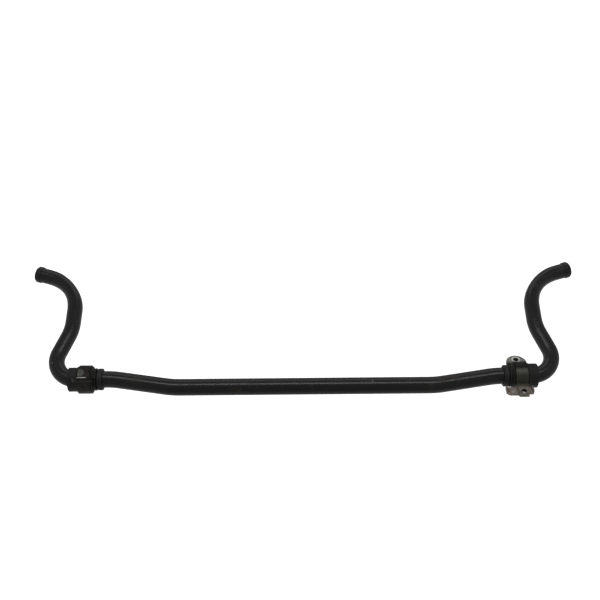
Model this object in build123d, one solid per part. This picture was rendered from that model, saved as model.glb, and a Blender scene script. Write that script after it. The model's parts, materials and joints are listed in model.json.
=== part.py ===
from build123d import *

from math import cos, radians, sin, tan
import os

# Anti-roll bar of a passenger car, with the two bushed clamps that hold it. Millimetres.
#
# X runs along the bar, Y towards the tips of its arms, and Z is up. The bar is bent in one level
# plane. Each clamp turns about the bar, so its own shape is drawn in a local frame: X along the bar,
# outboard positive, Z through the crown of the saddle, and Y from its tongue to its round ear. Both
# clamps are the same part: the left-hand one is fitted end for end.

# The bar: one steel tube. Its corners are the crossings of its straight runs.
BAR_R = 15.0  # middle of the bar
ARM_R = 14.25  # arms, drawn down a little outboard of the clamps
BORE_R = 10.0
CRANK_START_X = 235.5
CRANK_END_X = 343.0
BUSH_AXIS_Y = 17.3  # how far the cranks carry the clamps' axis towards the tips
CRANK_BEND_R = 165.0
NECK_START_X = 400.0  # taper from the middle of the bar to the arm
NECK_END_X = 406.0
ELBOW_X = 466.5
ELBOW_BEND_R = 40.5
ARM_LEAN = 19.8  # degrees that the lower arm leans inwards from Y
ARM_X = 429.5
KNEE_BEND_R = 90.0
SHOULDER_Y = 221.0
SHOULDER_BEND_R = 80.0
STUB_RISE = 17.0  # degrees between the stub and X
TIP_X = 509.0  # end of the tube on its axis

# Tips: a pressed collar on the tube's end and a domed plug in its bore
COLLAR_R = 15.6
COLLAR_LENGTH = 9.0
COLLAR_EDGE_R = 1.2
PLUG_DEPTH = 12.0
PLUG_HEAD_R = 14.0
PLUG_HEAD = 2.4
PLUG_EDGE_R = 1.8

# Stop ring: a split ring crimped on the bar inboard of each bush
STOP_RING_X = {"left": 365.0, "right": 361.0}
STOP_RING_WIDTH = 9.0
STOP_RING_R = 19.5
STOP_RING_EDGE_R = 1.4
STOP_RING_SEAM = 1.2

# Middle of each clamp's strap, from the middle of the bar
CLAMP_X = {"left": 391.5, "right": 386.5}

# Bush: split rubber sleeve, longer on its outboard side. Its lengths run along the clamp's own X.
BUSH_FIT = 0.05  # radial clearance on the bar
BUSH_INBOARD = -20.0
BUSH_OUTBOARD = 30.0
BUSH_EDGE = 1.2  # bevel of both ends
BUSH_LIP_R = 20.0
BUSH_LIP_X = -17.2
BUSH_GROOVE_R = 18.5
BUSH_GROOVE_X = (-16.4, -14.8)
BUSH_SHOULDER_R = 23.4
BUSH_SHOULDER = 1.0  # how much of each shoulder stands at its full radius
BUSH_SHOULDER_FOOT_X = 15.5
BUSH_SEAT_R = 21.9  # under the saddles
BUSH_SEAT_X = 12.1
BUSH_SLEEVE_R = 21.6
BUSH_FLARE_R = 18.2  # mouth of the bore, open enough for the start of the elbow
BUSH_FLARE_X = 17.5
BUSH_SLIT = 0.8

# Clamp halves: pressed sheet steel, joined by two eyelets that the bolts pass through
SHEET = 3.4
SADDLE_R = 22.0  # inside of both saddles
PARTING_GAP = 0.1  # between the two halves' ears
ROOT_BEND_R = 3.0
EAR_ROOT_Y = 29.0  # where the ears start to spread beyond the saddles
EYELETS_Y = {"tongue_eyelet": -42.5, "round_ear_eyelet": 37.5}
STRAP_WIDTH = 21.0
TONGUE_WIDTH = 20.0
TONGUE_TIP_Y = 53.5
DOME_WIDTH = 37.0
DOME_TIP_Y = 49.5
BASE_WIDTH = 23.6
BASE_DOME_WIDTH = 35.0
BASE_DOME_TIP_Y = 48.5
PLATE_INBOARD = 30.0  # the base bracket's broad plate, each side of its hole
PLATE_OUTBOARD = 18.0
PLATE_LOBE_Y = 47.0  # end of the plate inboard of the tongue
PLATE_TIP_Y = 50.5  # end of the plate under the tongue
PLATE_STEP_X = 9.0  # half-width of the part that reaches its tip
PLATE_NOTCH_Y = 44.5  # end of the plate outboard of the tongue
PLATE_CORNER_R = 8.0
PLATE_STEP_R = 1.7
FLANGE = 2.4
FLANGE_TOP = 5.0
FLANGE_END_Y = 43.0
BOSS_X = -18.5
BOSS_Y = 38.5
BOSS_R = 6.5
BOSS_HEIGHT = 1.5
BOSS_EDGE_R = 1.2

# Eyelets: tubular rivets, headed over the strap and flared flush with the base bracket's back
EYELET_BORE_R = 4.7
EYELET_R = 6.0
EYELET_HEAD_R = 8.4
EYELET_HEAD = 1.1
EYELET_HEAD_EDGE_R = 0.5
EYELET_FLARE_R = 6.8
EYELET_FLARE = 1.2

# Degrees that each clamp's crown is turned from Z towards the tips, as the bar lies at rest
CLAMP_TURN = {"left": 61.5, "right": 19.0}
SIDES = {"left": -1, "right": 1}

# How a round piece lies on its own axis: from the origin upwards or downwards
UPWARDS = (Align.CENTER, Align.CENTER, Align.MIN)
DOWNWARDS = (Align.CENTER, Align.CENTER, Align.MAX)


def inboard_corners():
    """Centreline from the middle of the bar to the neck, on the +X side."""
    return [
        (0, 0),
        (CRANK_START_X, 0),
        (CRANK_END_X, BUSH_AXIS_Y),
        (NECK_START_X, BUSH_AXIS_Y),
    ]


def arm_corners():
    """Centreline from the neck to the end of the tube, on the +X side."""
    knee_y = BUSH_AXIS_Y + (ELBOW_X - ARM_X) / tan(radians(ARM_LEAN))
    tip_y = SHOULDER_Y + (TIP_X - ARM_X) * tan(radians(STUB_RISE))
    return [
        (NECK_END_X, BUSH_AXIS_Y),
        (ELBOW_X, BUSH_AXIS_Y),
        (ARM_X, knee_y),
        (ARM_X, SHOULDER_Y),
        (TIP_X, tip_y),
    ]


CRANK_RADII = [CRANK_BEND_R, CRANK_BEND_R]
ARM_RADII = [ELBOW_BEND_R, KNEE_BEND_R, SHOULDER_BEND_R]


def rod(corners, radii, radius):
    """Round bar along straight runs joined by tangent arcs."""
    path = FilletPolyline(*corners, radius=radii)
    section = Plane(path @ 0, z_dir=path % 0) * Circle(radius)
    return sweep(section, path=path)


def half_bar():
    """The +X half: middle of the bar, neck and arm, bored through."""
    middle = rod(inboard_corners(), CRANK_RADII, BAR_R)
    middle -= rod(inboard_corners(), CRANK_RADII, BORE_R)
    length = NECK_END_X - NECK_START_X
    neck = Cone(BAR_R, ARM_R, length, align=UPWARDS) - Cylinder(BORE_R, length, align=UPWARDS)
    neck = Plane((NECK_START_X, BUSH_AXIS_Y, 0), x_dir=(0, 1, 0), z_dir=(1, 0, 0)) * neck
    arm = rod(arm_corners(), ARM_RADII, ARM_R)
    arm -= rod(arm_corners(), ARM_RADII, BORE_R)
    return middle + neck + arm


def tip_plane():
    """Frame at the end of the +X arm, Z pointing out along the stub."""
    tip = arm_corners()[-1]
    outward = (cos(radians(STUB_RISE)), sin(radians(STUB_RISE)), 0)
    return Plane((tip[0], tip[1], 0), x_dir=(0, 0, 1), z_dir=outward)


def end_collar():
    """Rounded sleeve pressed over the end of the tube."""
    collar = Cylinder(COLLAR_R, COLLAR_LENGTH, align=DOWNWARDS)
    collar = fillet(collar.edges().filter_by(GeomType.CIRCLE), COLLAR_EDGE_R)
    collar -= Cylinder(ARM_R, COLLAR_LENGTH, align=DOWNWARDS)
    return tip_plane() * collar


def end_plug():
    """Plug in the bore, with a domed head over the tube's end."""
    head = Cylinder(PLUG_HEAD_R, PLUG_HEAD, align=UPWARDS)
    head = fillet(head.edges().group_by(Axis.Z)[-1], PLUG_EDGE_R)
    shank = Cylinder(BORE_R, PLUG_DEPTH, align=DOWNWARDS)
    return tip_plane() * (head + shank)


def stop_ring():
    """Ring round the X axis, open along a narrow seam underneath."""
    ring = Rot(0, 90, 0) * Cylinder(STOP_RING_R, STOP_RING_WIDTH)
    ring = fillet(ring.edges().filter_by(GeomType.CIRCLE), STOP_RING_EDGE_R)
    ring -= Rot(0, 90, 0) * Cylinder(BAR_R, STOP_RING_WIDTH)
    seam = Pos(0, 0, -STOP_RING_R) * Box(STOP_RING_WIDTH, STOP_RING_SEAM, STOP_RING_R)
    return ring - seam


def bush():
    """Rubber sleeve: lip, groove, shoulder, seat for the saddles, shoulder and plain outboard end."""
    bore_r = BAR_R + BUSH_FIT
    outline = [
        (BUSH_INBOARD, bore_r),
        (BUSH_INBOARD, BUSH_LIP_R - BUSH_EDGE),
        (BUSH_INBOARD + BUSH_EDGE, BUSH_LIP_R),
        (BUSH_LIP_X, BUSH_LIP_R),
        (BUSH_GROOVE_X[0], BUSH_GROOVE_R),
        (BUSH_GROOVE_X[1], BUSH_GROOVE_R),
        (-BUSH_SEAT_X - BUSH_SHOULDER, BUSH_SHOULDER_R),
        (-BUSH_SEAT_X, BUSH_SHOULDER_R),
        (-BUSH_SEAT_X, BUSH_SEAT_R),
        (BUSH_SEAT_X, BUSH_SEAT_R),
        (BUSH_SEAT_X, BUSH_SHOULDER_R),
        (BUSH_SEAT_X + BUSH_SHOULDER, BUSH_SHOULDER_R),
        (BUSH_SHOULDER_FOOT_X, BUSH_SLEEVE_R),
        (BUSH_OUTBOARD - BUSH_EDGE, BUSH_SLEEVE_R),
        (BUSH_OUTBOARD, BUSH_SLEEVE_R - BUSH_EDGE),
        (BUSH_OUTBOARD, BUSH_FLARE_R),
        (BUSH_FLARE_X, bore_r),
    ]
    profile = make_face(Plane.XZ * Polyline(*outline, close=True))
    sleeve = revolve(profile, Axis.X)
    length = BUSH_OUTBOARD - BUSH_INBOARD
    slit = Box(length, BUSH_SHOULDER_R, BUSH_SLIT, align=(Align.MIN, Align.MIN, Align.CENTER))
    return sleeve - Pos(BUSH_INBOARD, 0, 0) * slit


def saddle_profile(tip_y):
    """Upper half of a clamp in the YZ plane: half a ring and two flat ears."""
    outer_r = SADDLE_R + SHEET
    low = PARTING_GAP / 2
    shape = Circle(outer_r) + Pos(0, low + SHEET / 2) * Rectangle(2 * tip_y, SHEET)
    shape -= Circle(SADDLE_R)
    shape &= Pos(0, low + outer_r) * Rectangle(2 * tip_y, 2 * outer_r)
    roots = shape.vertices().filter_by(
        lambda v: abs(v.X) < EAR_ROOT_Y and min(abs(v.Y - low), abs(v.Y - low - SHEET)) < PARTING_GAP / 4
    )
    return Plane.YZ * fillet(roots, ROOT_BEND_R)


def round_end(width, tip_y):
    """Outline of an ear that runs from the saddle to a half-round end at +Y."""
    centre_y = tip_y - width / 2
    return Pos(0, centre_y / 2) * Rectangle(width, centre_y) + Pos(0, centre_y) * Circle(width / 2)


def without_waist(outline, width, saddle_width):
    """Narrow an ear's outline to the saddle's width next to the saddle."""
    waist = Rectangle(width, 2 * EAR_ROOT_Y) - Rectangle(saddle_width, 2 * EAR_ROOT_Y)
    return outline - waist


def strap_outline():
    """The strap from above: round ear, narrow saddle and tongue."""
    dome = without_waist(round_end(DOME_WIDTH, DOME_TIP_Y), DOME_WIDTH, STRAP_WIDTH)
    tongue = Rot(0, 0, 180) * round_end(TONGUE_WIDTH, TONGUE_TIP_Y)
    saddle = Rectangle(STRAP_WIDTH, 2 * EAR_ROOT_Y)
    return dome + tongue + saddle


def plate_outline():
    """Broad plate of the base bracket: a lobe inboard, a tip under the tongue and a notch outboard."""
    corners = [
        (-PLATE_INBOARD, -EAR_ROOT_Y),
        (-PLATE_INBOARD, -PLATE_LOBE_Y),
        (-PLATE_STEP_X, -PLATE_LOBE_Y),
        (-PLATE_STEP_X, -PLATE_TIP_Y),
        (PLATE_STEP_X, -PLATE_TIP_Y),
        (PLATE_STEP_X, -PLATE_NOTCH_Y),
        (PLATE_OUTBOARD, -PLATE_NOTCH_Y),
        (PLATE_OUTBOARD, -EAR_ROOT_Y),
    ]
    plate = make_face(Polyline(*corners, close=True))
    steps = plate.vertices().filter_by(lambda v: v.Y < -EAR_ROOT_Y and v.X > -PLATE_INBOARD)
    plate = fillet(steps, PLATE_STEP_R)
    inboard_corner = plate.vertices().group_by(Axis.X)[0].sort_by(Axis.Y)[0]
    return fillet(inboard_corner, PLATE_CORNER_R)


def base_outline():
    """The base bracket from above: round ear, saddle and broad plate."""
    dome = without_waist(round_end(BASE_DOME_WIDTH, BASE_DOME_TIP_Y), BASE_DOME_WIDTH, BASE_WIDTH)
    saddle = Rectangle(BASE_WIDTH, 2 * EAR_ROOT_Y)
    return dome + plate_outline() + saddle


def pressed(outline):
    """Upper saddle and ears cut to an outline seen from above, with holes for the eyelets."""
    reach = 2 * TONGUE_TIP_Y
    blank = extrude(saddle_profile(reach / 2), reach / 2, both=True)
    sheet = blank & extrude(outline, 2 * SADDLE_R)
    for across in EYELETS_Y.values():
        sheet -= Pos(0, across, 0) * Cylinder(EYELET_R, 4 * SHEET)
    return sheet


def strap():
    """Narrow half of the clamp: a tongue at one end and a wide round ear at the other."""
    return pressed(strap_outline())


def flange(x):
    """Edge of the broad plate folded up beside the tongue."""
    length = FLANGE_END_Y - EAR_ROOT_Y
    height = FLANGE_TOP + SHEET
    wall = Box(FLANGE, length, height)
    wall = fillet(wall.edges().filter_by(Axis.X).group_by(Axis.Z)[-1], FLANGE)
    return Pos(x, -EAR_ROOT_Y - length / 2, FLANGE_TOP - height / 2) * wall


def base_bracket():
    """Wide half of the clamp: a broad flanged plate under the tongue and a round ear."""
    half = mirror(pressed(base_outline()), about=Plane.XY)
    half += flange(FLANGE / 2 - PLATE_INBOARD) + flange(PLATE_OUTBOARD - FLANGE / 2)
    boss = Cylinder(BOSS_R, BOSS_HEIGHT, align=UPWARDS)
    boss = fillet(boss.edges().group_by(Axis.Z)[-1], BOSS_EDGE_R)
    half += Pos(BOSS_X, -BOSS_Y, -PARTING_GAP / 2) * boss
    back = -SHEET - PARTING_GAP / 2
    for across in EYELETS_Y.values():
        half -= Pos(0, across, back) * eyelet_flare()
    return half


def eyelet_flare():
    """Cone that the eyelet's lower end is spread to, from the base bracket's back up."""
    return Cone(EYELET_FLARE_R, EYELET_R, EYELET_FLARE, align=UPWARDS)


def eyelet():
    """Tubular rivet on its own axis, at the height it has in the clamp."""
    top = SHEET + PARTING_GAP / 2
    head = Cylinder(EYELET_HEAD_R, EYELET_HEAD, align=UPWARDS)
    head = fillet(head.edges().group_by(Axis.Z)[-1], EYELET_HEAD_EDGE_R)
    barrel = Pos(0, 0, -top) * Cylinder(EYELET_R, 2 * top, align=UPWARDS)
    body = barrel + Pos(0, 0, top) * head + Pos(0, 0, -top) * eyelet_flare()
    return body - Cylinder(EYELET_BORE_R, 4 * (top + EYELET_HEAD))


def placed_clamp(shape, side):
    """Put a piece drawn in the clamp's own frame on the bar, at that side's turn."""
    if SIDES[side] < 0:
        shape = Rot(0, 0, 180) * shape
    return Pos(SIDES[side] * CLAMP_X[side], BUSH_AXIS_Y, 0) * Rot(-CLAMP_TURN[side], 0, 0) * shape


def build():
    """Every piece by node name, with the middle of the bar's axis at the origin."""
    half = half_bar()
    pieces = {"bar": half + mirror(half, about=Plane.YZ)}
    on_tip = {"end_collar": end_collar(), "end_plug": end_plug()}
    on_clamp = {"bush": bush(), "strap": strap(), "base_bracket": base_bracket()}
    for name, across in EYELETS_Y.items():
        on_clamp[name] = Pos(0, across, 0) * eyelet()
    for side, sign in SIDES.items():
        for name, shape in on_tip.items():
            pieces[f"{side}_{name}"] = mirror(shape, about=Plane.YZ) if sign < 0 else shape
        pieces[f"{side}_stop_ring"] = Pos(sign * STOP_RING_X[side], BUSH_AXIS_Y, 0) * stop_ring()
        for name, shape in on_clamp.items():
            pieces[f"{side}_{name}"] = placed_clamp(shape, side)
    return pieces


def to_ground(pieces):
    """Shift that puts the origin under the middle of the whole object, on what it lies on."""
    boxes = [piece.bounding_box() for piece in pieces]
    middle_x = (min(box.min.X for box in boxes) + max(box.max.X for box in boxes)) / 2
    middle_y = (min(box.min.Y for box in boxes) + max(box.max.Y for box in boxes)) / 2
    return Pos(-middle_x, -middle_y, -min(box.min.Z for box in boxes))


if __name__ == "__main__":
    parts = build()
    shift = to_ground(parts.values())
    os.makedirs("parts", exist_ok=True)
    for node, piece in parts.items():
        export_step(shift * piece, f"parts/{node}.step")
    print("bar axis in the part's frame:", shift.position)
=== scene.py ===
"""Looks of the anti-roll bar with its two bushed clamps: painted tube, rubber and pressed steel.

Metres. X runs along the bar, Y towards the tips of its arms, and Z is up. A clamp's own frame has X
along the bar, outboard positive, Z through the crown of its saddle, and Y from its tongue to its
round ear.
"""

import json
from math import atan2, cos, pi, radians, sin, tan

import bmesh
import bpy
from mathutils import Matrix, Vector


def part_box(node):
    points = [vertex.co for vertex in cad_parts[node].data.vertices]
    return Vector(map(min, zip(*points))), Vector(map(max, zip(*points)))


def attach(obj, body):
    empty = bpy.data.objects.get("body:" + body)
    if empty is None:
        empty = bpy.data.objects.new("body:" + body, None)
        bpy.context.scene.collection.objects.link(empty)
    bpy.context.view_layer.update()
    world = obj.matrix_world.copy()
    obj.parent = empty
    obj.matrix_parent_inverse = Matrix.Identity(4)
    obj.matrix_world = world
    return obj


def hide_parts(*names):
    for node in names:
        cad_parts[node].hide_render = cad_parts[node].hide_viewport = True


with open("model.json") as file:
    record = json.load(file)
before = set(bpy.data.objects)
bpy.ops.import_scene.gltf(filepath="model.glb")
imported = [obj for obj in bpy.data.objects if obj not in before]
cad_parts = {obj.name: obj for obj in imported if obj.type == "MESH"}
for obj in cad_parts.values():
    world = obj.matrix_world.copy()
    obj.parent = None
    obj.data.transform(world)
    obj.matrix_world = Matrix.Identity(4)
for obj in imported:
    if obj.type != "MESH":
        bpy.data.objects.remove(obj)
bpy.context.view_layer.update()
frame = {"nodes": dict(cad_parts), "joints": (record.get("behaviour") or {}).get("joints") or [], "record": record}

MM = 0.001
SIDES = {"left": -1, "right": 1}

# The bar's bends, as the tube bender makes them from the middle outwards
BAR_R = 15.0 * MM
ARM_R = 14.25 * MM
CRANK_START_X = 235.5 * MM
CRANK_END_X = 343.0 * MM
BUSH_AXIS_Y = 17.3 * MM
CRANK_BEND_R = 165.0 * MM
NECK_START_X = 400.0 * MM
NECK_END_X = 406.0 * MM
ELBOW_X = 466.5 * MM
ELBOW_BEND_R = 40.5 * MM
ARM_LEAN = radians(19.8)
ARM_X = 429.5 * MM
KNEE_BEND_R = 90.0 * MM
SHOULDER_Y = 221.0 * MM
SHOULDER_BEND_R = 80.0 * MM
STUB_RISE = radians(17.0)
TIP_X = 509.0 * MM

# How much thinner and how much higher the tube is in the middle of the shoulder bend than the CAD
# solid, which is round there
SHOULDER_FLATTENING = 0.1
SHOULDER_SPREAD = SHOULDER_FLATTENING / 3
ROUND_SEGMENTS = 64
BEND_STEP = radians(2.5)

# The bush: lengths along the clamp's X from the middle of its strap, and radii
BUSH_OUTLINE = (
    (-20.0, 15.05), (-20.0, 20.0), (-17.2, 20.0), (-16.4, 18.5), (-14.8, 18.5),
    (-13.1, 23.4), (-12.1, 23.4), (-12.1, 21.9), (12.1, 21.9), (12.1, 23.4), (13.1, 23.4),
    (15.5, 21.6), (30.0, 21.6), (30.0, 18.2), (17.5, 15.05),
)
BUSH_SLIT = radians(2.4)  # the gap along the sleeve, as an angle about its axis
BUSH_SEGMENTS = 96
BUSH_EDGE = 0.4 * MM  # rounding of its edges, where the CAD solid's two ends have 1.2 mm bevels

# An eyelet: heights along its axis from the middle of the two sheets, and radii. These leave the
# CAD solid, whose bore is 4.7 in radius and whose head ends at 4.55: here the bore is tighter and
# the head higher, so that no floor shows through the hole. The bolts' real size is the CAD's.
EYELET_OUTLINE = (
    (-3.45, 4.5), (-3.45, 6.75), (-2.3, 6.0), (3.45, 6.0), (3.45, 8.4), (4.3, 8.4), (5.0, 7.5),
    (5.1, 5.6), (4.6, 4.5),
)
EYELET_SEGMENTS = 48
EYELET_EDGE = 0.3 * MM
EYELETS_Y = {"tongue_eyelet": -42.5 * MM, "round_ear_eyelet": 37.5 * MM}

SMOOTH_ANGLE = radians(35)  # faces that meet at less are shaded as one surface
EDGE_ANGLE = radians(32)  # and edges where they meet at more are rounded

# Painted highlight on the left-hand saddle; its centre, from the middle of its clamp
PAINTED_HIGHLIGHT_SPOT = Vector((-7.0, 1.0, 25.5)) * MM

PAINT_BLACK = (0.0105, 0.0105, 0.011, 1)
PAINT_DUST = (0.05, 0.046, 0.04, 1)
DRY_MUD = (0.06, 0.045, 0.032, 1)
RUST_DARK = (0.03, 0.014, 0.008, 1)
RUST_LIGHT = (0.13, 0.065, 0.033, 1)
RUBBER_BLACK = (0.0095, 0.0095, 0.009, 1)
RUBBER_DUST = (0.03, 0.029, 0.026, 1)
STEEL_BRIGHT = (0.5, 0.5, 0.48, 1)
PAINTED_HIGHLIGHT_STEEL = (0.12, 0.123, 0.11, 1)
STRAP_PAINTED_SHADE = (0.012, 0.012, 0.008, 1)
EAR_PAINTED_SHEEN = (0.3, 0.3, 0.28, 1)
TONGUE_BROWN = (0.27, 0.23, 0.19, 1)
EYELET_PAINTED_HIGHLIGHT = (0.85, 0.85, 0.82, 1)
EYELET_GREY = (0.36, 0.35, 0.32, 1)
EYELET_BROWN = (0.14, 0.11, 0.085, 1)
BORE_PAINTED_SHADE = (0.012, 0.009, 0.005, 1)

# The left-hand clamp's steel is coloured near black; the right-hand one's is lighter and shows its plating
STRAP_COLOURS = {
    "left": ((0.014, 0.014, 0.013, 1), (0.026, 0.026, 0.024, 1)),
    "right": ((0.06, 0.062, 0.048, 1), (0.105, 0.108, 0.092, 1)),
}
BASE_COLOURS = {
    "left": ((0.03, 0.029, 0.027, 1), (0.06, 0.058, 0.053, 1)),
    "right": ((0.26, 0.21, 0.175, 1), (0.43, 0.4, 0.365, 1)),
}
EYELET_COLOURS = {
    "tongue_eyelet": (EYELET_GREY, EYELET_BROWN),
    # The round ear's eyelet is given much lighter steel than the tongue's: a painted highlight
    "round_ear_eyelet": (EYELET_PAINTED_HIGHLIGHT, STEEL_BRIGHT),
}


# --- materials ------------------------------------------------------------------------------------


class Finish:
    """One material's node tree, built step by step from Object coordinates."""

    def __init__(self, name, roughness, metallic=0.0):
        self.material = bpy.data.materials.new(name)
        self.material.use_nodes = True
        self.nodes = self.material.node_tree.nodes
        self.links = self.material.node_tree.links
        self.shader = self.nodes["Principled BSDF"]
        self.shader.inputs["Roughness"].default_value = roughness
        self.shader.inputs["Metallic"].default_value = metallic
        self.place = self.nodes.new("ShaderNodeTexCoord").outputs["Object"]

    def stretched(self, scale, turn=(0, 0, 0)):
        """Coordinates scaled differently along X, Y and Z."""
        mapping = self.nodes.new("ShaderNodeMapping")
        mapping.inputs["Scale"].default_value = scale
        mapping.inputs["Rotation"].default_value = turn
        self.links.new(self.place, mapping.inputs["Vector"])
        return mapping.outputs["Vector"]

    def noise(self, scale, detail=4.0, roughness=0.55, place=None):
        node = self.nodes.new("ShaderNodeTexNoise")
        node.inputs["Scale"].default_value = scale
        node.inputs["Detail"].default_value = detail
        node.inputs["Roughness"].default_value = roughness
        self.links.new(place or self.place, node.inputs["Vector"])
        return node.outputs["Fac"]

    def cells(self, scale):
        """Distance to scattered points, for chips and pits."""
        node = self.nodes.new("ShaderNodeTexVoronoi")
        node.inputs["Scale"].default_value = scale
        self.links.new(self.place, node.inputs["Vector"])
        return node.outputs["Distance"]

    def ramp(self, value, start, end, low=0.0, high=1.0):
        """Value mapped from start..end to low..high, and held there outside it."""
        node = self.nodes.new("ShaderNodeMapRange")
        node.inputs["From Min"].default_value = start
        node.inputs["From Max"].default_value = end
        node.inputs["To Min"].default_value = low
        node.inputs["To Max"].default_value = high
        self.links.new(value, node.inputs["Value"])
        return node.outputs["Result"]

    def maths(self, operation, a, b):
        node = self.nodes.new("ShaderNodeMath")
        node.operation = operation
        for socket, value in zip(node.inputs, (a, b)):
            if isinstance(value, (int, float)):
                socket.default_value = value
            else:
                self.links.new(value, socket)
        return node.outputs["Value"]

    def mix(self, amount, a, b):
        node = self.nodes.new("ShaderNodeMix")
        node.data_type = "RGBA"
        self.links.new(amount, node.inputs["Factor"])
        for socket, value in ((node.inputs["A"], a), (node.inputs["B"], b)):
            if isinstance(value, tuple):
                socket.default_value = value
            else:
                self.links.new(value, socket)
        return node.outputs["Result"]

    def near(self, point, inner, outer):
        """1 closer to a point than inner, and 0 further from it than outer."""
        node = self.nodes.new("ShaderNodeVectorMath")
        node.operation = "DISTANCE"
        node.inputs[1].default_value = point
        self.links.new(self.place, node.inputs[0])
        return self.ramp(node.outputs["Value"], inner, outer, 1.0, 0.0)

    def across(self, origin, direction):
        """Distance from a plane through origin, along a direction."""
        offset = self.nodes.new("ShaderNodeVectorMath")
        offset.operation = "SUBTRACT"
        offset.inputs[1].default_value = origin
        self.links.new(self.place, offset.inputs[0])
        dot = self.nodes.new("ShaderNodeVectorMath")
        dot.operation = "DOT_PRODUCT"
        dot.inputs[1].default_value = direction
        self.links.new(offset.outputs["Vector"], dot.inputs[0])
        return dot.outputs["Value"]

    def set(self, name, value):
        self.links.new(value, self.shader.inputs[name])

    def bump(self, height, strength, distance, below=None):
        node = self.nodes.new("ShaderNodeBump")
        node.inputs["Strength"].default_value = strength
        node.inputs["Distance"].default_value = distance
        self.links.new(height, node.inputs["Height"])
        if below is not None:
            self.links.new(below, node.inputs["Normal"])
        return node.outputs["Normal"]


def black_paint():
    """Semi-gloss black enamel: slight orange peel, scratches, dried mud and a few chips."""
    f = Finish("black_paint", roughness=0.25)
    cloud = f.noise(7.0, detail=6.0)
    streaks = f.noise(9.0, detail=5.0, place=f.stretched((6.0, 60.0, 60.0)))
    lines = f.noise(32.0, detail=2.0, place=f.stretched((1.2, 26.0, 26.0), (0.2, 0.1, 0.35)))
    scratches = f.ramp(lines, 0.66, 0.72)
    dust = f.maths("MULTIPLY", f.ramp(cloud, 0.5, 0.75), f.ramp(streaks, 0.45, 0.7))
    colour = f.mix(f.maths("MULTIPLY", dust, 0.3), PAINT_BLACK, PAINT_DUST)
    spatter = f.ramp(f.noise(26.0, detail=8.0, roughness=0.7), 0.56, 0.66)
    mud = f.maths("MULTIPLY", spatter, f.ramp(cloud, 0.46, 0.6))
    colour = f.mix(f.maths("MULTIPLY", mud, 0.45), colour, DRY_MUD)
    colour = f.mix(f.maths("MULTIPLY", scratches, 0.25), colour, PAINT_DUST)
    chips = f.ramp(f.cells(55.0), 0.07, 0.05)
    chips = f.maths("MULTIPLY", chips, f.ramp(f.noise(11.0, detail=2.0), 0.6, 0.64))
    chip_colour = f.mix(f.noise(300.0), RUST_LIGHT, STEEL_BRIGHT)
    f.set("Base Color", f.mix(chips, colour, chip_colour))
    rough = f.ramp(streaks, 0.3, 0.7, 0.19, 0.34)
    rough = f.maths("ADD", rough, f.maths("MULTIPLY", mud, 0.3))
    f.set("Roughness", f.maths("ADD", rough, f.maths("MULTIPLY", chips, 0.3)))
    peel = f.bump(f.noise(420.0, detail=2.0), 0.12, 0.0004)
    f.set("Normal", f.bump(chips, -0.4, 0.0002, below=peel))
    return f.material


def rubber():
    """Moulded black rubber with a dusty bloom."""
    f = Finish("bush_rubber", roughness=0.72)
    bloom = f.noise(60.0, detail=6.0)
    dust = f.ramp(bloom, 0.48, 0.72)
    f.set("Base Color", f.mix(f.maths("MULTIPLY", dust, 0.6), RUBBER_BLACK, RUBBER_DUST))
    f.set("Roughness", f.ramp(bloom, 0.3, 0.7, 0.5, 0.75))
    f.set("Normal", f.bump(f.noise(900.0, detail=4.0), 0.25, 0.0003))
    return f.material


def strap_steel(side):
    """Passivated sheet, rubbed lighter in places. On the left, a painted highlight on top of the saddle; on the
    right, painted shade over the saddle's rear half, a painted sheen on the round ear and a brown stain towards
    the tongue.
    """
    f = Finish(f"{side}_strap_steel", roughness=0.45, metallic=0.55)
    patches = f.noise(45.0, detail=5.0, roughness=0.6)
    stains = f.ramp(f.noise(90.0, detail=6.0), 0.56, 0.7)
    dull, light = STRAP_COLOURS[side]
    colour = f.mix(f.ramp(patches, 0.42, 0.7), dull, light)
    middle = clamp_frame(side).translation
    if side == "left":
        # Painted highlight: a lighter spot on top of the saddle, ragged at its rim
        highlight = f.near(middle + PAINTED_HIGHLIGHT_SPOT, 3 * MM, 10 * MM)
        highlight = f.ramp(f.maths("MULTIPLY", highlight, f.ramp(patches, 0.3, 0.6, 0.6, 1.4)), 0.25, 0.6)
        colour = f.mix(highlight, colour, PAINTED_HIGHLIGHT_STEEL)
    else:
        ragged = f.ramp(patches, 0.3, 0.7, -1.5 * MM, 1.5 * MM)
        behind = f.maths("ADD", f.across(middle, (0, 1, 0)), ragged)
        # Painted shade over the saddle's rear half, from 1 to 4 mm behind its middle back to the round ear
        colour = f.mix(f.ramp(behind, 1 * MM, 4 * MM), colour, STRAP_PAINTED_SHADE)
        # Painted sheen: the round ear is coloured lighter than the rest of the strap
        colour = f.mix(f.ramp(behind, 27 * MM, 35 * MM), colour, EAR_PAINTED_SHEEN)
        colour = f.mix(f.ramp(behind, -25 * MM, -29 * MM, 0.0, 0.85), colour, TONGUE_BROWN)
    f.set("Base Color", f.mix(f.maths("MULTIPLY", stains, 0.6), colour, RUST_DARK))
    f.set("Roughness", f.ramp(patches, 0.3, 0.7, 0.55, 0.4))
    f.set("Normal", f.bump(f.noise(500.0, detail=3.0), 0.15, 0.0003))
    return f.material


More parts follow.
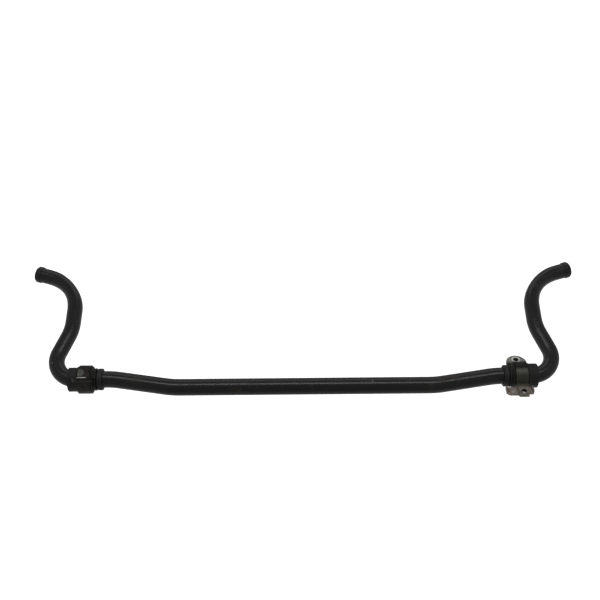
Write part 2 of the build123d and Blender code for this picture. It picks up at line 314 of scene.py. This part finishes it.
def bracket_zinc(side):
    """Worn zinc with brown rust in blotches."""
    f = Finish(f"{side}_bracket_zinc", roughness=0.5, metallic=0.6)
    rust = f.ramp(f.noise(70.0, detail=7.0, roughness=0.65), 0.5, 0.6)
    grain = f.noise(350.0, detail=5.0)
    dull, light = BASE_COLOURS[side]
    zinc = f.mix(f.ramp(grain, 0.35, 0.65), dull, light)
    rust_colour = f.mix(f.ramp(grain, 0.4, 0.6), RUST_DARK, RUST_LIGHT if side == "right" else dull)
    f.set("Base Color", f.mix(rust, zinc, rust_colour))
    f.set("Metallic", f.ramp(rust, 0.0, 1.0, 0.5, 0.05))
    f.set("Roughness", f.ramp(rust, 0.0, 1.0, 0.45, 0.85))
    f.set("Normal", f.bump(f.maths("ADD", grain, rust), 0.3, 0.0004))
    return f.material


def eyelet_steel(name, mouth, colours):
    """Worn steel in two tones, with painted shade darkening the bore."""
    f = Finish(name, roughness=0.38, metallic=0.7)
    wear = f.noise(150.0, detail=6.0)
    colour = f.mix(f.ramp(wear, 0.45, 0.65), *colours)
    # Painted shade: within 5.9 mm of the eyelet's middle, the bore is darkened
    f.set("Base Color", f.mix(f.near(mouth, 5.9 * MM, 6.9 * MM), colour, BORE_PAINTED_SHADE))
    f.set("Roughness", f.ramp(wear, 0.3, 0.7, 0.3, 0.6))
    f.set("Normal", f.bump(f.noise(600.0), 0.15, 0.0002))
    return f.material


def ring_coat():
    """Matt black coating with a dusty bloom."""
    f = Finish("ring_coat", roughness=0.55)
    cloud = f.noise(80.0, detail=6.0)
    dust = f.maths("MULTIPLY", f.ramp(cloud, 0.45, 0.75), 0.5)
    f.set("Base Color", f.mix(dust, PAINT_BLACK, PAINT_DUST))
    f.set("Roughness", f.ramp(cloud, 0.3, 0.7, 0.45, 0.65))
    f.set("Normal", f.bump(f.noise(500.0), 0.2, 0.0003))
    return f.material


# --- meshes ---------------------------------------------------------------------------------------


def clothe(piece, material):
    piece.data.materials.clear()
    piece.data.materials.append(material)
    return piece


def piece_from(bm, name, material):
    """Finish a bmesh as an object: normals outwards, smooth shading with sharp edges kept."""
    bmesh.ops.remove_doubles(bm, verts=bm.verts, dist=1e-6)
    bmesh.ops.recalc_face_normals(bm, faces=bm.faces)
    mesh = bpy.data.meshes.new(name)
    bm.to_mesh(mesh)
    bm.free()
    piece = bpy.data.objects.new(name, mesh)
    bpy.context.scene.collection.objects.link(piece)
    for polygon in mesh.polygons:
        polygon.use_smooth = True
    mesh.set_sharp_from_angle(angle=SMOOTH_ANGLE)
    return clothe(piece, material)


def bar_origin():
    """Middle of the bar's own axis, from the box of the bar and the radius of its tube."""
    low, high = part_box("bar")
    return Vector(((low.x + high.x) / 2, low.y + BAR_R, (low.z + high.z) / 2))


class Bender:
    """A ring of edges drawn along straight runs and bends, leaving a tube behind it."""

    def __init__(self, bm, start, radius):
        self.bm = bm
        self.place = start.copy()
        self.heading = 0.0
        turned = Matrix.Translation(start) @ Matrix.Rotation(pi / 2, 4, "Y")
        made = bmesh.ops.create_circle(bm, segments=ROUND_SEGMENTS, radius=radius, matrix=turned)
        self.edges = list({edge for vert in made["verts"] for edge in vert.link_edges})

    def direction(self):
        return Vector((cos(self.heading), sin(self.heading), 0))

    def run(self, length, steps=1, scale=1.0):
        """Straight run, or a taper when scale isn't 1."""
        for _ in range(steps):
            made = bmesh.ops.extrude_edge_only(self.bm, edges=self.edges)["geom"]
            verts = [item for item in made if isinstance(item, bmesh.types.BMVert)]
            self.edges = [item for item in made if isinstance(item, bmesh.types.BMEdge)]
            step = self.direction() * (length / steps)
            bmesh.ops.translate(self.bm, verts=verts, vec=step)
            self.place += step
            if scale != 1.0:
                about = Matrix.Translation(-self.place)
                bmesh.ops.scale(self.bm, verts=verts, vec=(scale,) * 3, space=about)

    def bend(self, angle, radius):
        """Bend in the level plane, anticlockwise when the angle is positive. Returns its centre."""
        side = 1 if angle > 0 else -1
        sideways = Vector((-sin(self.heading), cos(self.heading), 0)) * side
        middle = self.place + sideways * radius
        steps = max(3, round(abs(angle) / BEND_STEP))
        made = bmesh.ops.spin(
            self.bm, geom=self.edges, cent=middle, axis=(0, 0, 1), angle=angle, steps=steps,
            use_merge=False, use_duplicate=False,
        )["geom_last"]
        self.edges = [item for item in made if isinstance(item, bmesh.types.BMEdge)]
        self.place = middle + Matrix.Rotation(angle, 3, "Z") @ (self.place - middle)
        self.heading += angle
        return middle


def bar_tube(material):
    """The bar: one half bent from the middle outwards, flattened at the shoulder and mirrored."""
    crank = atan2(BUSH_AXIS_Y, CRANK_END_X - CRANK_START_X)
    crank_cut = CRANK_BEND_R * tan(crank / 2)
    crank_run = BUSH_AXIS_Y / sin(crank)
    elbow = pi / 2 + ARM_LEAN
    elbow_cut = ELBOW_BEND_R * tan(elbow / 2)
    knee_cut = KNEE_BEND_R * tan(ARM_LEAN / 2)
    shoulder = pi / 2 - STUB_RISE
    shoulder_cut = SHOULDER_BEND_R * tan(shoulder / 2)
    lower_arm = (ELBOW_X - ARM_X) / sin(ARM_LEAN)
    knee_y = BUSH_AXIS_Y + (ELBOW_X - ARM_X) / tan(ARM_LEAN)
    stub = (TIP_X - ARM_X) / cos(STUB_RISE)
    origin = bar_origin()
    bm = bmesh.new()
    bender = Bender(bm, origin, BAR_R)
    bender.run(CRANK_START_X - crank_cut, steps=24)
    bender.bend(crank, CRANK_BEND_R)
    bender.run(crank_run - 2 * crank_cut, steps=6)
    bender.bend(-crank, CRANK_BEND_R)
    bender.run(NECK_START_X - CRANK_END_X - crank_cut, steps=4)
    bender.run(NECK_END_X - NECK_START_X, scale=ARM_R / BAR_R)
    bender.run(ELBOW_X - elbow_cut - NECK_END_X)
    bender.bend(elbow, ELBOW_BEND_R)
    bender.run(lower_arm - elbow_cut - knee_cut, steps=3)
    bender.bend(-ARM_LEAN, KNEE_BEND_R)
    bender.run(SHOULDER_Y - knee_y - knee_cut - shoulder_cut, steps=2)
    shoulder_middle = bender.bend(-shoulder, SHOULDER_BEND_R)
    bender.run(stub - shoulder_cut, steps=2)
    bmesh.ops.edgeloop_fill(bm, edges=bender.edges)
    flatten_shoulder(bm, shoulder_middle, shoulder)
    bmesh.ops.mirror(
        bm, geom=bm.verts[:] + bm.edges[:] + bm.faces[:], matrix=Matrix.Translation(-origin),
        axis="X", merge_dist=1e-5,
    )
    return piece_from(bm, "bar_tube", material)


def flatten_shoulder(bm, middle, turn):
    """Draw the tube in towards its own axis, in the plane of the bend and most in its middle."""
    for vert in bm.verts:
        arm = vert.co - middle
        across = Vector((arm.x, arm.y))
        if across.length > SHOULDER_BEND_R + 2 * BAR_R or arm.y < 0:
            continue
        along = atan2(arm.y, -arm.x) / turn
        if not 0 < along < 1:
            continue
        amount = sin(pi * along) ** 2
        off_axis = across.length - SHOULDER_BEND_R
        drawn_in = off_axis * (1 - SHOULDER_FLATTENING * amount)
        across *= (SHOULDER_BEND_R + drawn_in) / across.length
        height = arm.z * (1 + SHOULDER_SPREAD * amount)
        vert.co = middle + Vector((across.x, across.y, height))


def clamp_frame(side):
    """A clamp's own frame: X outboard, Z through its crown, Y from the tongue to the round ear."""
    joint = next(j for j in frame["joints"] if j["name"] == f"{side}_clamp_turn")
    mount = next(m for m in frame["record"]["mounts"] if m["name"] == f"{side}_clamp_bolts")
    crown = Vector(mount["axis"]).normalized()
    outboard = Vector((SIDES[side], 0, 0))
    turn = Matrix((outboard, crown.cross(outboard), crown)).transposed().to_4x4()
    return Matrix.Translation(joint["pos_m"]) @ turn


def turned(outline, axis, gap, segments, place, edge):
    """Solid of revolution from an outline of (length, radius) in mm, with its sharp rims eased."""
    along = Vector(axis)
    outwards = Vector((0, 1, 0)) if along.x else Vector((1, 0, 0))
    start = Matrix.Rotation(gap / 2, 4, along)
    bm = bmesh.new()
    points = [(along * length + outwards * radius) * MM for length, radius in outline]
    verts = [bm.verts.new(start @ point) for point in points]
    geom = verts + [bm.edges.new(pair) for pair in zip(verts, verts[1:] + verts[:1])]
    if gap:
        geom.append(bm.faces.new(verts))
    bmesh.ops.spin(
        bm, geom=geom, cent=(0, 0, 0), axis=along, angle=2 * pi - gap, steps=segments,
        use_merge=not gap, use_duplicate=False,
    )
    bmesh.ops.remove_doubles(bm, verts=bm.verts, dist=1e-7)
    bmesh.ops.recalc_face_normals(bm, faces=bm.faces)
    ease(bm, edge)
    bmesh.ops.transform(bm, matrix=place, verts=bm.verts)
    return bm


def ease(bm, width):
    """Round every sharp edge between two faces."""
    rims = [e for e in bm.edges if len(e.link_faces) == 2 and e.calc_face_angle() > EDGE_ANGLE]
    bmesh.ops.bevel(
        bm, geom=rims, offset=width, offset_type="OFFSET", segments=2, profile=0.5, affect="EDGES",
        material=-1, clamp_overlap=True,
    )


def stand_in(piece, node, body):
    """Show a piece in place of one CAD node, on its body."""
    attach(piece, body)
    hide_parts(node)


def bush(side, material):
    bm = turned(BUSH_OUTLINE, (1, 0, 0), BUSH_SLIT, BUSH_SEGMENTS, clamp_frame(side), BUSH_EDGE)
    piece = piece_from(bm, f"{side}_bush_sleeve", material)
    stand_in(piece, f"{side}_bush", f"{side}_clamp")


def eyelet(side, name):
    place = clamp_frame(side) @ Matrix.Translation((0, EYELETS_Y[name], 0))
    bm = turned(EYELET_OUTLINE, (0, 0, 1), 0, EYELET_SEGMENTS, place, EYELET_EDGE)
    material = eyelet_steel(f"{side}_{name}_steel", place.translation, EYELET_COLOURS[name])
    piece = piece_from(bm, f"{side}_{name}_rivet", material)
    stand_in(piece, f"{side}_{name}", f"{side}_clamp")


# --- stage ----------------------------------------------------------------------------------------


OVERHEAD_PLACE = (0, 0.35, 2.3)
OVERHEAD_SIZE = (2.4, 0.4)
OVERHEAD_WATTS = 11
BACK_PLACE = (0, 2.6, 1.2)
BACK_SIZE = (3.0, 1.6)
BACK_WATTS = 8
AROUND_FRONT = 0.16  # brightness of the surroundings in front and behind
AROUND_SIDES = 0.2  # and how much more at the sides
AROUND_BELOW = 0.3  # and from below


def area_light(name, place, size, power):
    """Rectangular lamp aimed at the origin."""
    lamp = bpy.data.lights.new(name, "AREA")
    lamp.shape = "RECTANGLE"
    lamp.size, lamp.size_y = size
    lamp.energy = power
    holder = bpy.data.objects.new(name, lamp)
    holder.location = place
    holder.rotation_euler = (-Vector(place)).to_track_quat("-Z", "Y").to_euler()
    bpy.context.scene.collection.objects.link(holder)


def world_maths(world, operation, *values):
    node = world.node_tree.nodes.new("ShaderNodeMath")
    node.operation = operation
    for socket, value in zip(node.inputs, values):
        if isinstance(value, (int, float)):
            socket.default_value = value
        else:
            world.node_tree.links.new(value, socket)
    return node.outputs["Value"]


def lights():
    """A long strip overhead, a broad panel behind, and surroundings lighter below and beside."""
    area_light("overhead", OVERHEAD_PLACE, OVERHEAD_SIZE, OVERHEAD_WATTS)
    area_light("back", BACK_PLACE, BACK_SIZE, BACK_WATTS)
    world = bpy.data.worlds.new("studio")
    world.use_nodes = True
    nodes, links = world.node_tree.nodes, world.node_tree.links
    background = nodes["Background"]
    background.inputs["Color"].default_value = (1, 1, 1, 1)
    split = nodes.new("ShaderNodeSeparateXYZ")
    links.new(nodes.new("ShaderNodeTexCoord").outputs["Generated"], split.inputs["Vector"])
    sideways = world_maths(world, "ABSOLUTE", split.outputs["X"])
    downwards = world_maths(world, "MULTIPLY", split.outputs["Z"], -1)
    downwards = world_maths(world, "MAXIMUM", downwards, 0)
    total = world_maths(world, "MULTIPLY_ADD", sideways, AROUND_SIDES, AROUND_FRONT)
    total = world_maths(world, "MULTIPLY_ADD", downwards, AROUND_BELOW, total)
    links.new(total, background.inputs["Strength"])
    bpy.context.scene.world = world


FLOOR_DROP = 30.0 * MM  # leaves room under the object for the ears of a clamp that is turned down
FLOOR_REACH = 6.0
FLOOR_GLOW = 0.9  # light that the floor gives off, so that no shadow shows on it


def lowest_point(*nodes):
    points = [vert.co for node in nodes for vert in frame["nodes"][node].data.vertices]
    return min(points, key=lambda co: co.z).copy()


def floor():
    """Pale plane through the lowest points of both clamps and the right-hand tip, then lowered."""
    left = lowest_point("left_strap", "left_base_bracket")
    right = lowest_point("right_strap", "right_base_bracket")
    tip = lowest_point("right_end_collar")
    up = (right - left).cross(tip - left).normalized()
    lie = Vector((0, 0, 1)).rotation_difference(up).to_matrix().to_4x4()
    place = Matrix.Translation(left - up * FLOOR_DROP) @ lie
    bm = bmesh.new()
    bmesh.ops.create_grid(bm, x_segments=1, y_segments=1, size=FLOOR_REACH, matrix=place)
    f = Finish("floor_white", roughness=0.6)
    f.shader.inputs["Base Color"].default_value = (0.9, 0.9, 0.9, 1)
    f.shader.inputs["Specular IOR Level"].default_value = 0.1
    f.shader.inputs["Emission Color"].default_value = (1, 1, 1, 1)
    f.shader.inputs["Emission Strength"].default_value = FLOOR_GLOW
    sheet = piece_from(bm, "floor", f.material)
    sheet.visible_glossy = False
    sheet.visible_diffuse = False


CAMERA_ELEVATION = radians(58.0)
CAMERA_DISTANCE = 1.64
CAMERA_ROLL = radians(0.52)
CAMERA_LENS = 55.1
CAMERA_RIGHT = -0.0063
CAMERA_UP = 0.154


def camera():
    """Looks down on the bar from in front, with the bar low in the picture."""
    forward = Vector((0, cos(CAMERA_ELEVATION), -sin(CAMERA_ELEVATION)))
    right = Vector((1, 0, 0))
    up = right.cross(forward)
    place = bar_origin() - forward * CAMERA_DISTANCE + right * CAMERA_RIGHT + up * CAMERA_UP
    rolled_up = up * cos(CAMERA_ROLL) + right * sin(CAMERA_ROLL)
    rolled_right = right * cos(CAMERA_ROLL) - up * sin(CAMERA_ROLL)
    lens = bpy.data.cameras.new("camera")
    lens.lens = CAMERA_LENS
    lens.sensor_width = 36.0
    holder = bpy.data.objects.new("camera", lens)
    turn = Matrix((rolled_right, rolled_up, -forward)).transposed().to_4x4()
    holder.matrix_world = Matrix.Translation(place) @ turn
    bpy.context.scene.collection.objects.link(holder)
    bpy.context.scene.camera = holder


# --- the object -----------------------------------------------------------------------------------

paint = black_paint()
rubber_black = rubber()
ring_black = ring_coat()

camera()
bar = bar_tube(paint)
stand_in(bar, "bar", "bar")
for side in SIDES:
    bush(side, rubber_black)
    for name in EYELETS_Y:
        eyelet(side, name)
    clothe(frame["nodes"][f"{side}_strap"], strap_steel(side))
    clothe(frame["nodes"][f"{side}_base_bracket"], bracket_zinc(side))
    clothe(frame["nodes"][f"{side}_end_collar"], paint)
    clothe(frame["nodes"][f"{side}_end_plug"], paint)
    clothe(frame["nodes"][f"{side}_stop_ring"], ring_black)
floor()
lights()
bpy.context.scene.view_settings.view_transform = "Standard"
